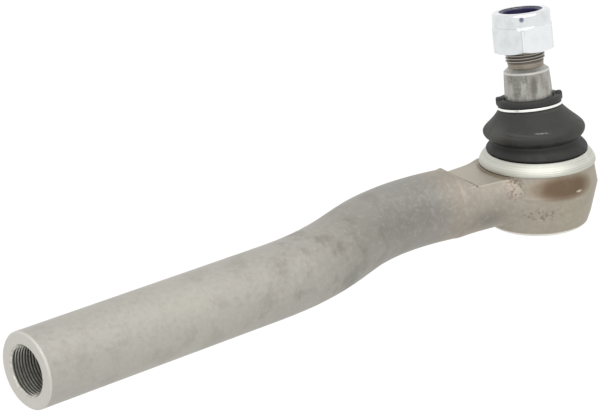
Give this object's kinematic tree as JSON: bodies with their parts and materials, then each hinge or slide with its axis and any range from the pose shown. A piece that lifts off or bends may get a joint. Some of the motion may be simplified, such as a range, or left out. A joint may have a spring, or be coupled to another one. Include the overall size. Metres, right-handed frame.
{
  "type": "tie rod end",
  "caption": "Cranked forged tie rod end with a female threaded shank, a booted ball joint, and a tapered stud closed by a nylon-insert lock nut.",
  "frame": {"origin": "centre of the rod's end face, at the mouth of the threaded bore", "axes": "+X along the rod from its threaded end towards the ball joint, +Z along the housing's axis towards the stud, +Y to the side the crank goes"},
  "size_m": [0.3513, 0.0642, 0.1101],
  "materials": {
    "forged_steel": "shot-blasted forging",
    "seat_plastic": "moulded acetal",
    "spring_steel": "oiled",
    "cover_steel": "stamped",
    "seal_rubber": "moulded",
    "zinc_plated_steel": "bright zinc",
    "boot_rubber": "matte moulded",
    "ring_wire": "bright",
    "ground_steel": "ground",
    "zinc_plated_nut": "bright zinc",
    "nylon": "moulded"
  },
  "bodies": {
    "housing": {"rod_body": "forged_steel", "upper_seat": "seat_plastic", "lower_seat": "seat_plastic", "preload_spring": "spring_steel", "cover_plate": "cover_steel", "cover_seal": "seal_rubber", "boot_clamp_ring": "zinc_plated_steel"},
    "boot": {"dust_boot": "boot_rubber"},
    "neck": {"boot_neck_ring": "ring_wire"},
    "stud": {"ball_stud": "ground_steel"},
    "insert": {"nylon_insert": "nylon"},
    "nut": {"lock_nut": "zinc_plated_nut"}
  },
  "joints": [
    {"name": "stud_rock", "type": "hinge", "parent": "housing", "child": "boot", "pos_m": [0.321, 0.0041, 0], "axis": [-1, 0, 0], "range_deg": [-25.5, 10.5], "deforming": ["dust_boot"]},
    {"name": "stud_swing", "type": "hinge", "parent": "boot", "child": "neck", "pos_m": [0.321, 0.0041, 0], "axis": [0, 0.9914, -0.1305], "range_deg": [-18.9, 17.1], "deforming": ["dust_boot"]},
    {"name": "stud_spin", "type": "hinge", "parent": "neck", "child": "stud", "pos_m": [0.321, 0.0041, 0], "axis": [0.0157, 0.1305, 0.9913], "continuous": true},
    {"name": "nut_travel", "type": "slide", "parent": "stud", "child": "insert", "axis": [0.0157, 0.1305, 0.9913], "range_m": [-0.006, 0.014]},
    {"name": "nut_turn", "type": "hinge", "parent": "insert", "child": "nut", "pos_m": [0.32208, 0.01311, 0.0684], "axis": [0.0157, 0.1305, 0.9913], "continuous": true}
  ],
  "couplings": [
    {"joint": "nut_turn", "follows": "nut_travel", "rad_per_m": 4188.8}
  ]
}
